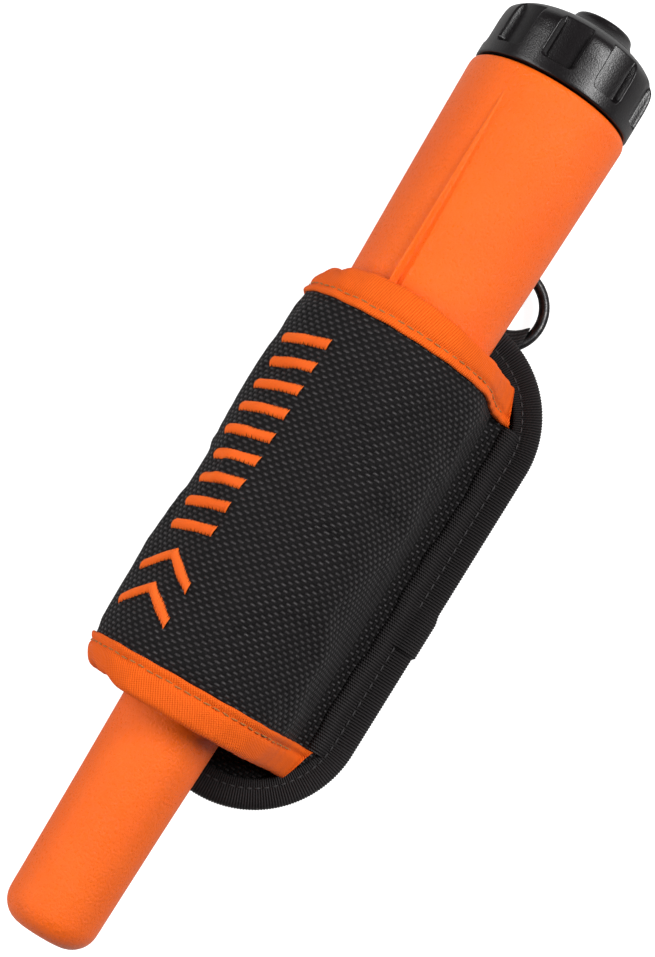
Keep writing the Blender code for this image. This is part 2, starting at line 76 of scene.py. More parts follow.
AXIS_Z = middle("cap_seal").z
HOUSING_LOW, HOUSING_HIGH = node_box("housing")
CAP_LOW, CAP_HIGH = node_box("cap")
TIP_X = HOUSING_LOW.x
RIM_X = HOUSING_HIGH.x
HANDLE_RADIUS = (HOUSING_HIGH.y - HOUSING_LOW.y) / 2
CAP_RADIUS = (CAP_HIGH.y - CAP_LOW.y) / 2
SLEEVE_LOW, SLEEVE_HIGH = node_box("sleeve")
PANEL_LOW, PANEL_HIGH = node_box("edge_binding")
PANEL_Y = (PANEL_LOW.y + PANEL_HIGH.y) / 2
PANEL_REACH = (PANEL_HIGH.y - PANEL_LOW.y) / 2
PANEL_ENDS = (PANEL_LOW.x + PANEL_REACH, PANEL_HIGH.x - PANEL_REACH)


# ---- meshes


def grid_faces(rows, cols, close_rows=False, close_cols=False):
    """Quads over a grid of points, numbered row by row."""
    row = np.arange(rows if close_rows else rows - 1)
    col = np.arange(cols if close_cols else cols - 1)
    row, col = np.meshgrid(row, col, indexing="ij")
    next_row, next_col = (row + 1) % rows, (col + 1) % cols
    corners = (row * cols + col, row * cols + next_col, next_row * cols + next_col, next_row * cols + col)
    return np.stack(corners, -1).reshape(-1, 4).tolist()


def grid_solid(points, close_rows=False):
    """(points, faces) of a skin over rings of points, capped at its two ends or joined there."""
    points = np.asarray(points, float)
    rows, cols = points.shape[:2]
    faces = grid_faces(rows, cols, close_rows=close_rows, close_cols=True)
    if not close_rows:
        faces.append(list(range(cols)))
        faces.append(list(range((rows - 1) * cols, rows * cols)))
    return points.reshape(-1, 3), faces


def merged(shapes):
    """Several (points, faces) as one."""
    points, faces, start = [], [], 0
    for shape_points, shape_faces in shapes:
        points.append(shape_points)
        faces += [[start + i for i in face] for face in shape_faces]
        start += len(shape_points)
    return np.concatenate(points), faces


def placed(name, data):
    """A new object in the scene."""
    item = bpy.data.objects.new(name, data)
    bpy.context.scene.collection.objects.link(item)
    return item


def add_piece(name, shape, body, material, replaces=(), pattern=None, sharp=40, blend=None):
    """Makes a piece from (points, faces) in millimetres.

    pattern holds each point's place on its cloth. A piece given blend is put on no body and has its place
    baked into its points; the values that blend holds are not used.
    """
    points, faces = shape
    mesh = bpy.data.meshes.new(name)
    mesh.from_pydata((points * MM).tolist(), [], faces)
    bm = bmesh.new()
    bm.from_mesh(mesh)
    bmesh.ops.recalc_face_normals(bm, faces=bm.faces[:])
    bm.to_mesh(mesh)
    bm.free()
    if pattern is not None:
        layer = mesh.attributes.new("pattern", "FLOAT_VECTOR", "POINT")
        layer.data.foreach_set("vector", np.asarray(pattern, np.float32).ravel())
    mesh.shade_smooth()
    mesh.set_sharp_from_angle(angle=radians(sharp))
    piece = placed(name, mesh)
    mesh.materials.append(material)
    if blend:
        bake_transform(piece)
    else:
        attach(piece, body)
    if replaces:
        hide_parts(*replaces)
    return piece


def ease(value):
    """Goes smoothly from 0 to 1 as value does."""
    value = np.clip(value, 0.0, 1.0)
    return value * value * (3 - 2 * value)


def arc(centre, radius_a, radius_b, start, end, steps):
    turns = np.radians(np.linspace(start, end, steps + 1))
    return [(centre[0] + radius_a * cos(t), centre[1] + radius_b * sin(t)) for t in turns]


def shifted(pairs, first, second):
    """Pairs of numbers, each with the same pair added."""
    return [(a + first, b + second) for a, b in pairs]


def distances(line):
    """How far along a line each of its points is."""
    steps = np.linalg.norm(np.diff(line, axis=0), axis=1)
    return np.append(0, np.cumsum(steps))


def resampled(line, count):
    """The same line with points at equal steps of its length."""
    line = np.asarray(line, float)
    along = distances(line)
    places = np.linspace(0, along[-1], count)
    return np.stack([np.interp(places, along, line[:, k]) for k in range(line.shape[1])], -1)


def curve_through(points, count):
    """A smooth line through points, with equal steps between its own."""
    points = np.asarray(points, float)
    padded = np.concatenate([[2 * points[0] - points[1]], points, [2 * points[-1] - points[-2]]])
    line = []
    for i in range(1, len(padded) - 2):
        before, start, end, after = padded[i - 1 : i + 3]
        for t in np.linspace(0, 1, 9)[:-1]:
            pull = (end - before) * t + (2 * before - 5 * start + 4 * end - after) * t**2
            pull += (3 * start - before - 3 * end + after) * t**3
            line.append(start + 0.5 * pull)
    line.append(points[-1])
    return [tuple(p) for p in resampled(line, count)]


def polar_points(stations, angles, centre_y=0.0):
    """Rings about a line along X, from rows of (x, radius). A radius may be one number per angle."""
    rings = []
    for x, radius in stations:
        x = np.broadcast_to(x, angles.shape)
        rings.append(np.stack([x, centre_y + radius * np.sin(angles), AXIS_Z + radius * np.cos(angles)], -1))
    return np.array(rings)


THREAD_SIDES = 6


def capsule(start, end, radius, up, flat=0.7, lift=0.0, rings=5):
    """A thread's shape from start to end, arched by lift along up, and thin where it enters the cloth."""
    start, end, up = (np.asarray(v, float) for v in (start, end, up))
    along = end - start
    length = np.linalg.norm(along)
    along /= length
    side = np.cross(along, up)
    side /= np.linalg.norm(side)
    over = np.cross(side, along)
    turns = np.arange(THREAD_SIDES) * tau / THREAD_SIDES
    section = np.outer(np.cos(turns), side) + flat * np.outer(np.sin(turns), over)
    points = []
    for share in np.linspace(0, 1, rings):
        arch = sin(pi * share)
        swell = max(0.25, arch**0.4)
        points.append(start + along * length * share + over * lift * arch + radius * swell * section)
    return grid_solid(points)


# ---- materials


class Nodes:
    """A short way to write the node tree of a material, or of the world."""

    def __init__(self, name, world=False):
        self.owner = (bpy.data.worlds if world else bpy.data.materials).new(name)
        self.owner.use_nodes = True
        self.tree = self.owner.node_tree
        self.shader = self.tree.nodes["Background" if world else "Principled BSDF"]

    def link(self, value, socket):
        """Joins a node's output to a socket, or sets the socket to a number or an (r, g, b) colour."""
        if isinstance(value, bpy.types.NodeSocket):
            self.tree.links.new(value, socket)
        elif isinstance(value, tuple):
            socket.default_value = (*value, 1.0)
        else:
            socket.default_value = value

    def fill(self, node, inputs):
        """Sets a node's inputs, whose names are written with _ for a space."""
        for name, value in inputs.items():
            self.link(value, node.inputs[name.replace("_", " ")])

    def node(self, kind, **inputs):
        node = self.tree.nodes.new("ShaderNode" + kind)
        self.fill(node, inputs)
        return node

    def math(self, operation, a, b=0.0):
        node = self.node("Math")
        node.operation = operation
        self.link(a, node.inputs[0])
        self.link(b, node.inputs[1])
        return node.outputs[0]

    def plus(self, a, b):
        return self.math("ADD", a, b)

    def times(self, a, b):
        return self.math("MULTIPLY", a, b)

    def place(self):
        """A point's place in the object, in millimetres."""
        node = self.node("VectorMath")
        node.operation = "SCALE"
        self.link(self.node("TexCoord").outputs["Object"], node.inputs[0])
        self.link(1 / MM, node.inputs["Scale"])
        return node.outputs[0]

    def pattern(self):
        """A point's place on its cloth, in millimetres."""
        node = self.node("Attribute")
        node.attribute_name = "pattern"
        return node.outputs["Vector"]

    def split(self, vector):
        node = self.node("SeparateXYZ", Vector=vector)
        return node.outputs[0], node.outputs[1]

    def noise(self, vector, scale, detail=3.0, roughness=0.5):
        node = self.node("TexNoise", Vector=vector, Scale=scale, Detail=detail, Roughness=roughness)
        return node.outputs["Fac"]

    def cells(self, vector, scale):
        return self.node("TexVoronoi", Vector=vector, Scale=scale).outputs["Distance"]

    def ramp(self, value, low, high, low_at=0.0, high_at=1.0):
        node = self.node("MapRange", Value=value, From_Min=low_at, From_Max=high_at, To_Min=low, To_Max=high)
        return node.outputs[0]

    def seen(self, bounced, to_camera):
        """One number for light that bounces, and another for what the camera sees."""
        return self.ramp(self.node("LightPath").outputs["Is Camera Ray"], bounced, to_camera)

    def mix(self, share, first, second):
        node = self.node("Mix")
        node.data_type = "RGBA"
        for value, place in ((share, 0), (first, 6), (second, 7)):
            self.link(value, node.inputs[place])
        return node.outputs[2]

    def bump(self, height, distance):
        """distance is the height in millimetres that a value of 1 stands for."""
        return self.node("Bump", Strength=1.0, Distance=distance * MM, Height=height).outputs[0]

    def finish(self, **inputs):
        """Sets the shader's inputs, and gives the material or the world."""
        self.fill(self.shader, inputs)
        return self.owner


def orange_plastic():
    """Satin moulded plastic with a fine spark-eroded grain."""
    n = Nodes("orange_plastic_look")
    place = n.place()
    grain = n.noise(place, 1.6, detail=4.0, roughness=0.65)
    cloud = n.noise(place, 0.06, detail=2.0)
    rubbed = n.ramp(n.noise(place, 0.4, detail=5.0, roughness=0.6), 0.0, 1.0, 0.62, 0.72)
    colour = n.mix(cloud, (0.93, 0.118, 0.002), (0.96, 0.15, 0.006))
    colour = n.mix(n.times(rubbed, 0.12), colour, (0.93, 0.2, 0.03))
    return n.finish(
        Base_Color=colour,
        Roughness=n.ramp(grain, 0.25, 0.36, 0.3, 0.7),
        Normal=n.bump(grain, 0.4),
        Specular_IOR_Level=0.3,
    )


def black_plastic():
    """Black moulded plastic with a coarser, leathery grain than the housing's."""
    n = Nodes("black_plastic_look")
    place = n.place()
    grain = n.cells(place, 3.0)
    fine = n.noise(place, 3.0)
    height = n.plus(grain, n.times(fine, 0.6))
    colour = n.mix(n.noise(place, 0.1), (0.0045, 0.0036, 0.0041), (0.009, 0.0072, 0.008))
    return n.finish(
        Base_Color=colour,
        Roughness=n.ramp(fine, 0.28, 0.38, 0.3, 0.7),
        Normal=n.bump(height, 0.025),
        Specular_IOR_Level=0.4,
    )


def rubber():
    n = Nodes("black_rubber_look")
    grain = n.noise(n.place(), 2.5)
    colour = n.mix(grain, (0.018, 0.017, 0.018), (0.032, 0.03, 0.031))
    return n.finish(Base_Color=colour, Roughness=0.6, Normal=n.bump(grain, 0.05))


def thread_arch(n, across, along, shift, slimness):
    """One set of yarns of a plain weave: round across, and rising over every second crossing along."""
    cell = n.math("FLOOR", across)
    share = n.math("SUBTRACT", across, cell)
    round_top = n.math("POWER", n.math("SINE", n.times(share, pi)), slimness)
    wave_at = n.times(n.plus(n.plus(along, cell), shift), pi)
    wave = n.times(n.math("COSINE", wave_at), 0.62)
    return n.times(round_top, n.math("MINIMUM", n.plus(wave, 0.6), 1.0))


NYLON_DARK = (0.004, 0.0036, 0.0038)


def woven_nylon(name, pitch, light):
    """Plain-woven coarse yarn: pitch is one yarn's width, measured on the cloth's own pattern.

    The yarns that run round the probe stand proud and are glossier, and their lighter colour is a painted
    highlight; the ones along it stay dark between them.
    """
    n = Nodes(name)
    place = n.pattern()
    wobble = n.noise(place, 0.3, detail=2.0)
    across, along = n.split(place)
    across = n.plus(across, n.times(n.math("SUBTRACT", wobble, 0.5), 0.6))
    across = n.math("DIVIDE", across, pitch * 1.08)
    along = n.math("DIVIDE", along, pitch)
    warp = thread_arch(n, across, along, 0.5, 0.6)
    weft = thread_arch(n, along, across, -0.5, 1.3)
    height = n.math("MAXIMUM", n.times(warp, 0.72), weft)
    fibre = n.noise(place, 6.0, detail=2.0)
    patchy = n.ramp(n.noise(place, 0.5, detail=2.0), 0.75, 1.15, 0.3, 0.7)
    # The colour turns lighter where the weft yarns stand proud, a painted highlight; the same mask also makes
    # them glossier.
    gloss_and_painted_highlight = n.times(n.ramp(weft, 0.12, 1.0, 0.25, 1.0), patchy)
    bump = n.bump(n.plus(height, n.times(fibre, 0.1)), 0.34)
    return n.finish(
        Base_Color=n.mix(gloss_and_painted_highlight, NYLON_DARK, light),
        Roughness=n.ramp(gloss_and_painted_highlight, 0.72, 0.42),
        Normal=bump,
        Specular_IOR_Level=n.ramp(gloss_and_painted_highlight, 0.06, 0.3),
        Sheen_Weight=0.02,
        Sheen_Roughness=0.5,
    )


def ribbed_tape(name, rib, dark, light, roughness=0.6, weave=0.35):
    """Grosgrain tape: ribs run across the tape, whose length is the pattern's first number. Its colour is
    lighter on the rib tops and darker in the grooves, a painted highlight and painted shade, with a random
    fibre tone.
    """
    n = Nodes(name)
    place = n.pattern()
    along, across = n.split(place)
    ridge = n.math("SINE", n.times(along, tau / rib))
    cross_at = n.plus(across, n.times(along, 0.5))
    cross = n.math("SINE", n.times(cross_at, tau / weave))
    height = n.plus(n.times(ridge, 0.5), n.times(cross, 0.25))
    fibre = n.noise(place, 5.0)
    # Painted highlight on the rib tops and painted shade in the grooves, plus a random fibre tone.
    painted_rib_shade_and_fibre_tone = n.plus(n.ramp(height, 0.0, 0.85, -0.45, 0.6), n.times(fibre, 0.2))
    return n.finish(
        Base_Color=n.mix(painted_rib_shade_and_fibre_tone, dark, light),
        Roughness=roughness,
        Normal=n.bump(height, 0.12),
        Specular_IOR_Level=0.12,
        Sheen_Weight=0.02,
        Sheen_Roughness=0.4,
    )


def sewing_thread(name, dark, light):
    n = Nodes(name)
    twist = n.noise(n.place(), 6.0)
    return n.finish(
        Base_Color=n.mix(twist, dark, light),
        Roughness=0.6,
        Normal=n.bump(twist, 0.08),
        Specular_IOR_Level=0.25,
        Sheen_Weight=0.04,
    )


def dark_metal():
    """Dark plated wire, with rubbed patches."""
    n = Nodes("gunmetal_look")
    place = n.place()
    worn = n.noise(place, 0.5, detail=4.0)
    scratch = n.noise(place, 4.0)
    return n.finish(
        Base_Color=n.mix(n.ramp(worn, 0.0, 1.0, 0.45, 0.75), (0.03, 0.03, 0.032), (0.09, 0.085, 0.08)),
        Metallic=0.85,
        Roughness=n.ramp(scratch, 0.25, 0.45, 0.3, 0.7),
        Normal=n.bump(scratch, 0.02),
    )


def inner_look(slot, colour, metallic, roughness, grain_scale, grain_height):
    """The plain finish of a piece inside the probe, with a grain of its own scale."""
    n = Nodes(f"{slot}_inner_look")
    grain = n.noise(n.place(), grain_scale, detail=4.0)
    darker = tuple(0.7 * c for c in colour)
    return n.finish(
        Base_Color=n.mix(grain, darker, colour),
        Metallic=metallic,
        Roughness=n.ramp(grain, roughness * 0.8, min(1.0, roughness * 1.2), 0.3, 0.7),
        Normal=n.bump(grain, grain_height),
    )


# slot: (metallic, roughness, grain per millimetre, grain height in millimetres)
INNER_GRAIN = {
    "black_plastic": (0.0, 0.45, 2.0, 0.03),
    "grey_plastic": (0.0, 0.5, 2.0, 0.03),
    "natural_plastic": (0.0, 0.45, 1.0, 0.02),
    "green_board": (0.0, 0.35, 0.8, 0.03),
    "battery_label": (0.3, 0.35, 0.3, 0.01),
    "red_wire": (0.0, 0.4, 2.0, 0.02),
    "black_wire": (0.0, 0.4, 2.0, 0.02),
    "ferrite": (0.0, 0.7, 3.0, 0.05),
    "copper": (1.0, 0.35, 5.0, 0.08),
    "brass": (1.0, 0.3, 3.0, 0.01),
    "steel": (1.0, 0.3, 3.0, 0.01),
    "foam": (0.0, 0.95, 1.5, 0.3),
    "black_rubber": (0.0, 0.6, 2.5, 0.03),
}


def paint_inner_nodes():
    """Gives every CAD node that stays in view a finish made from its own record slot."""
    colours = {m["slot"]: tuple(m["base_color"][:3]) for m in frame["record"]["materials"]}
    slots = {s["node"]: s["material_slot"] for s in frame["record"]["subparts"]}
    looks = {slot: inner_look(slot, colours[slot], *grain) for slot, grain in INNER_GRAIN.items()}
    for name, node in frame["nodes"].items():
        if slots[name] in looks:
            node.data.materials.clear()
            node.data.materials.append(looks[slots[name]])


# ---- probe

SPINE_ANGLE = radians(28.9)
SPINE_START = RIM_X - 6.0
SPINE_FULL = SLEEVE_HIGH.x + 6.0
SPINE_HEIGHT = 1.2
GROOVE_DEPTH = 0.9
TIP_CORNER = 6.0
RIM_FLARE = 1.9
HOUSING_LINE = [(-96, 10.7), (-70, 11.2), (-50, 11.7), (-30, 12.3), (-22, 12.9)]
HOUSING_LINE += [(10, 15.4), (40, 17.5), (55, 17.9)]


def spine_relief(x, angles, radius):
    """A thin fin moulded along the handle, with a shallow groove on its flap side."""
    growth = np.clip((SPINE_START - x) / (SPINE_START - SPINE_FULL), 0.0, 1.0)
    fade = np.clip((x + 20) / 30, 0.0, 1.0)
    reach = -(angles - SPINE_ANGLE) * radius
    slope = 0.35 + 0.5 * growth
    width = np.where(reach > 0, slope, 0.3 + 0.3 * growth)
    fin = 1 - ease((np.abs(reach) - 0.05) / width)
    groove = ease((reach - 0.2) / slope) - ease((reach - 0.2 - slope) / (0.9 + 0.9 * growth))
    return fade * (SPINE_HEIGHT * growth**0.8 * fin - GROOVE_DEPTH * growth * groove)


def housing_outer():
    """(x, radius) along the outside, from the flat of the tip to the rim."""
    start_x, start_radius = HOUSING_LINE[0]
    corner_at = (TIP_X + TIP_CORNER, start_radius - TIP_CORNER)
    corner = arc(corner_at, TIP_CORNER, TIP_CORNER, 180, 90, 14)
    full = RIM_X - RIM_FLARE
    guide = np.array(HOUSING_LINE + [(80, 18.7), (full, HANDLE_RADIUS), (full + 8, HANDLE_RADIUS + 0.24)])
    xs = np.arange(start_x + 1.5, full, 1.5)
    smoothing = (-5, -2.5, 0, 2.5, 5)
    radii = np.mean([np.interp(xs + step, guide[:, 0], guide[:, 1]) for step in smoothing], axis=0)
    rim = [(full, HANDLE_RADIUS)] + shifted([(-1.0, -0.1), (-0.4, -0.34), (0.0, -0.8)], RIM_X, HANDLE_RADIUS)
    return corner + list(zip(xs, radii)) + rim


THREAD_PITCH = 4.0
THREAD_HEIGHT = 0.4
THREAD_START = CAP_LOW.x
THREAD_END = THREAD_START + 7.6


def thread_rows(radius, sign, angles):
    """Rings of a right-hand thread. sign is 1 for the housing's hollow thread, and -1 for the cap's."""
    rows = []
    for x in np.arange(THREAD_START, THREAD_END + 0.01, 0.38):
        fade = np.clip(min(x - THREAD_START, THREAD_END - x), 0.0, 1.0)
        wave = np.sin(tau * x / THREAD_PITCH + angles - pi / 2)
        rows.append((x, radius + THREAD_HEIGHT * (fade * wave + sign * (1 - fade))))
    return rows


def make_housing():
    near_spine = SPINE_ANGLE + np.linspace(-0.2, 0.14, 75)
    rest = SPINE_ANGLE + np.linspace(0.14, tau - 0.2, 180)[1:-1]
    angles = np.append(near_spine, rest)
    turned = (angles - SPINE_ANGLE + pi) % tau - pi + SPINE_ANGLE
    rows = [(x, radius + spine_relief(x, turned, radius)) for x, radius in housing_outer()]
    rows += [(RIM_X, 18.3), (THREAD_END + 0.2, 18.3), (THREAD_END + 0.2, 17.05)]
    rows += thread_rows(16.65, 1, angles)[::-1]
    bore = [(THREAD_START - 0.6, 16.1), (45.6, 16.1), (45.6, 15.0), (40, 15.0), (-22, 10.9), (-50, 9.9)]
    rows += bore + [(-94, 8.9), (-98.5, 7.6), (TIP_X + 2.2, 5.5)]
    shell = grid_solid(polar_points(rows, angles))
    add_piece("housing_shell", shell, "probe", orange_plastic(), ["housing"], sharp=45)


TICKS = 4
TICK_ANGLE = -0.85
TICK_SPACING = 12.7
TICK_SECTION = [(-0.35, -0.2), (-0.2, 0.1), (0.2, 0.1), (0.35, -0.2)]


def make_depth_ticks():
    """Short raised lines on the flap's side of the tip, one each half inch, every second one longer."""
    shapes = []
    for count in range(TICKS):
        x = SLEEVE_LOW.x - 10.5 - TICK_SPACING * count
        radius = 11.7 - 0.027 * (-50 - x)
        half_turn = 0.2 if count % 2 else 0.13
        angles = TICK_ANGLE + np.linspace(-half_turn, half_turn, 9)
        points = polar_points(shifted(TICK_SECTION, x, radius), angles)
        shapes.append(grid_solid(points.transpose(1, 0, 2)))
    add_piece("depth_ticks", merged(shapes), "probe", orange_plastic())


FLUTES = 9
FLUTE_ANGLE = radians(9.5)
FLUTE_FLOOR = CAP_RADIUS - 1.8
FLUTE_HALF = 4.1
FLUTE_START = CAP_LOW.x + 13.0
FLUTE_CORNER = 1.5
FLUTE_WALL = 0.55


def flute_relief(x, radius, angles):
    """Pulls the skin in to the floor of each flute, which is rounded at one end and open at the other."""
    pitch = tau / FLUTES
    turn = (angles - FLUTE_ANGLE + pitch / 2) % pitch - pitch / 2
    side = np.abs(turn) * CAP_RADIUS - (FLUTE_HALF - FLUTE_CORNER)
    end = (FLUTE_START + FLUTE_CORNER) - x
    corner = np.hypot(np.maximum(side, 0.0), max(end, 0.0))
    outside = np.where((side > 0) | (end > 0), corner, np.maximum(side, end)) - FLUTE_CORNER
    share = ease(-outside / FLUTE_WALL)
    return -share * max(radius - FLUTE_FLOOR, 0.0)


def flute_angles():
    """Angles round the cap, close together at the flutes' walls."""
    half_pitch = degrees(pi / FLUTES)
    wall = degrees((FLUTE_HALF - FLUTE_CORNER / 2) / CAP_RADIUS)
    dense = wall + np.arange(-2.5, 3.6, 0.5)
    half = np.array([0, 2.2, 4.4, *dense, dense[-1] + 1.6, half_pitch])
    one = np.radians(np.append(-half[:-1], half))
    turns = [one + FLUTE_ANGLE + k * tau / FLUTES for k in range(FLUTES)]
    return np.sort(np.unique(np.round(np.concatenate(turns) % tau, 7)))


# (x from the cap's top, radius), up the dome's middle, over the collar's edge and down its inside
COLLAR_LINE = [(-5.5, 15.5), (-4.4, 12.8), (-3.75, 10.6), (-3.35, 9.4), (-2.9, 8.4), (-1.6, 7.4), (-0.6, 7.0)]
COLLAR_LINE += [(-0.15, 6.6), (0, 6.1), (-0.1, 5.5), (-0.5, 5.05)]
COLLAR_FOOT = 10.6


def make_cap():
    """The fluted cap, whose collar round the button stands off the cap's own axis."""
    angles = flute_angles()
    skirt_x = RIM_X + 0.6
    top = CAP_HIGH.x
    rows = thread_rows(16.2, -1, angles)
    rows += [(THREAD_END + 0.3, 16.0), (skirt_x, 16.0), (skirt_x, CAP_RADIUS - 0.7)]
    edge = arc((skirt_x + 0.5, CAP_RADIUS - 0.5), 0.5, 0.5, 180, 90, 5)
    stretches = [(skirt_x + 1.0, FLUTE_START, 0.6), (FLUTE_START, FLUTE_START + 2.6, 0.2)]
    stretches += [(FLUTE_START + 3, top - 12.5, 0.9)]
    wall = [(x, CAP_RADIUS) for stretch in stretches for x in np.arange(*stretch)]
    dome = shifted([(-12, 0), (-9.6, -0.2), (-8, -0.7), (-6.8, -1.8)], top, CAP_RADIUS)
    dome += shifted(COLLAR_LINE, top, 0)
    for x, radius in edge + wall + curve_through(dome, 64):
        rows.append((x, radius + flute_relief(x, radius, angles)))
    ceiling = top - 6.2
    rows += [(top - 1.2, 4.95), (ceiling, 4.95), (ceiling, 12.0), (ceiling - 2, 14.0), (THREAD_START, 14.0)]
    points = polar_points(rows, angles)
    offset = middle("button").y
    for ring, (x, radius) in zip(points, rows):
        if x >= ceiling:
            ring[:, 1] += offset * ease((COLLAR_FOOT - np.max(radius)) / 2.2)
    shell = grid_solid(points, close_rows=True)
    add_piece("cap_shell", shell, "cap", black_plastic(), ["cap"], sharp=50)


def make_button():
    """The rubber button: a flange under the cap's roof and a shallow dish on top."""
    low, high = node_box("button")
    angles = np.arange(64) * tau / 64
    rows = shifted([(0, 1.6), (0.6, 1.6), (0.6, 7.5), (2.2, 7.5), (2.2, 4.6)], low.x, 0)
    rows += curve_through(shifted([(-1.6, 4.6), (-0.8, 4.45), (-0.3, 3.9), (-0.1, 3.2)], high.x, 0), 10)
    rows += shifted([(-0.45, 2.6), (-0.5, 1.6), (-0.5, 0.4)], high.x, 0)
    shape = grid_solid(polar_points(rows, angles, middle("button").y))
    add_piece("button_dome", shape, "button", rubber(), ["button"])


# ---- holster cloth

SLEEVE_HALF = 0.9
RISE = 20.4
SLEEVE_Y = 0.5
SLEEVE_CENTRE_Z = SLEEVE_HIGH.z - SLEEVE_HALF - RISE
BASE_Z = SLEEVE_LOW.z + SLEEVE_HALF
HALF_WIDTH = SLEEVE_HIGH.y - SLEEVE_HALF - SLEEVE_Y
FOOT_Y = 10.5
FLAP_Y = SLEEVE_LOW.y
SEAM_Y = FLAP_Y + 5.8
LINE_POINTS = 181


def cloth_line(half_width, rise, flap_y, seam_y, softness):
    """The sleeve's middle line across the probe, as even (y, z) points from its foot to the flap's edge.

    The cloth wraps the probe, leaves it on a straight slope to the seam, and lies flat from there on.
    softness of 1 spreads the bend at the seam over the slope and the whole flap.
    """
    centre = SLEEVE_CENTRE_Z
    reach = SLEEVE_Y + half_width - FOOT_Y
    foot = arc((FOOT_Y, centre), reach, centre - BASE_Z, -90, 0, 24)
    across, down = (seam_y - SLEEVE_Y) / half_width, (BASE_Z - centre) / rise
    toward = degrees(atan2(down, across)) % 360
    tangent = toward - degrees(acos(1 / hypot(across, down)))
    over = arc((SLEEVE_Y, centre), half_width, rise, 0, tangent, 60)
    seam = np.array((seam_y, BASE_Z))
    leaving = np.array(over[-1]) + (seam - over[-1]) * (0.86 - 0.46 * softness)
    landing = seam + (np.array((flap_y, BASE_Z)) - seam) * (0.4 + 0.55 * softness)
    turns = np.linspace(0, 1, 9)
    bend = [(1 - t) ** 2 * leaving + 2 * t * (1 - t) * seam + t**2 * landing for t in turns]
    return resampled(foot + over[1:] + bend + [np.array((flap_y, BASE_Z))], LINE_POINTS)


def outward(line):
    """The normals of a line of (y, z) points, on its right: outward for a line from +Y over the top to -Y."""
    along = np.gradient(line, axis=0)
    along /= np.linalg.norm(along, axis=1)[:, None]
    return np.stack([along[:, 1], -along[:, 0]], -1)


def line_at(x):
    """The cloth's middle line at one place along the sleeve, drawn in at its two edgings."""
    mouth = np.clip((x - SLEEVE_HIGH.x) / 8.5, 0.0, 1.1)
    toe = np.clip((SLEEVE_LOW.x - x) / 8.5, 0.0, 1.1)
    half_width = HALF_WIDTH - 1.3 * mouth - 2.1 * toe
    rise = RISE - 1.4 * toe
    beyond = max(x - SLEEVE_HIGH.x, SLEEVE_LOW.x - x)
    trim_end = 1.0 * ease(beyond + 0.5)
    flap_y = FLAP_Y + trim_end + 4.0 * mouth + 3.0 * toe
    softness = ease((beyond + 1.0) / 2.0)
    return cloth_line(half_width, rise, flap_y, SEAM_Y + 0.6 * mouth + 0.4 * toe, softness)


def on_cloth(x, share, lift):
    """A point lift above the cloth's middle, at share of the way from the foot to the flap's edge."""
    line = line_at(x)
    place = share * (LINE_POINTS - 1)
    spots = np.arange(LINE_POINTS)
    point, normal = ([np.interp(place, spots, column) for column in grid.T] for grid in (line, outward(line)))
    normal = np.array(normal) / np.linalg.norm(normal)
    return np.array([x, *(point + normal * lift)]), np.array([0, *normal])


CLOTH_SCALE = 0.01
CLOTH_STEPS = 20
CLOTH_SETTINGS = {
    "vertex_group_mass": "held",
    "quality": 6,
    "mass": 0.3,
    "tension_stiffness": 30,
    "compression_stiffness": 30,
    "shear_stiffness": 12,
    "bending_stiffness": 2.5,
}


def settled(points, faces, held, pressure, shrink):
    """Runs a cloth simulation on a mesh, with its held points fixed, and gives where it settles.

    The mesh is simulated ten times too large, because Blender's cloth is meant for pieces of that size.
    """
    mesh = bpy.data.meshes.new("cloth_sheet")
    mesh.from_pydata((points * CLOTH_SCALE).tolist(), [], faces)
    sheet = placed("cloth_sheet", mesh)
    sheet.vertex_groups.new(name="held").add([int(i) for i in held], 1.0, "REPLACE")
    settings = sheet.modifiers.new("cloth", "CLOTH").settings
    for name, value in CLOTH_SETTINGS.items():
        setattr(settings, name, value)
    settings.shrink_min = shrink
    settings.effector_weights.gravity = 0
    settings.use_pressure = pressure > 0
    settings.uniform_pressure_force = pressure
    for step in range(1, CLOTH_STEPS + 1):
        bpy.context.scene.frame_set(step)
    evaluated = sheet.evaluated_get(bpy.context.evaluated_depsgraph_get())
    moved = np.array([v.co for v in evaluated.data.vertices]) / CLOTH_SCALE
    bpy.context.scene.frame_set(1)
    bpy.data.objects.remove(sheet)
    return moved


SLACK_GRID = (24, 40)
SLACK_LIMITS = (-0.4, 0.9)
SLACK_SHRINK = -0.014
SEWN_SHARE = 0.84


def sleeve_slack():
    """How far the sewn-down cloth stands off its pattern shape, on a coarse grid along and across it."""
    rows, cols = SLACK_GRID
    xs = np.linspace(SLEEVE_LOW.x, SLEEVE_HIGH.x, rows)
    picks = np.linspace(0, LINE_POINTS - 1, cols).round().astype(int)
    lines = np.array([line_at(x) for x in xs])
    normals = np.array([outward(line) for line in lines])
    points = np.dstack([np.broadcast_to(xs[:, None], SLACK_GRID), lines[:, picks]])
    start = points + np.random.default_rng(7).normal(0, 0.05, points.shape)
    index = np.arange(rows * cols).reshape(rows, cols)
    sewn = np.setdiff1d(index, index[1:-1, 2 : int(cols * SEWN_SHARE)])
    moved = settled(start.reshape(-1, 3), grid_faces(rows, cols), sewn, 0.0, SLACK_SHRINK)
    away = ((moved.reshape(points.shape) - points)[..., 1:] * normals[:, picks]).sum(axis=2)
    return np.clip(away, *SLACK_LIMITS)


def slack_at(slack, x, shares):
    """The sleeve's slack at one x, at shares of the way from the foot to the flap's edge."""
    rows, cols = SLACK_GRID
    r = np.clip((x - SLEEVE_LOW.x) / (SLEEVE_HIGH.x - SLEEVE_LOW.x), 0, 1) * (rows - 1)
    c = np.clip(shares, 0, 1) * (cols - 1)
    r0 = min(int(r), rows - 2)
    c0 = np.minimum(np.int64(c), cols - 2)
    row_share, col_share = ease(r - r0), ease(c - c0)
    low, high = (slack[row, c0] * (1 - col_share) + slack[row, c0 + 1] * col_share for row in (r0, r0 + 1))
    return low * (1 - row_share) + high * row_share


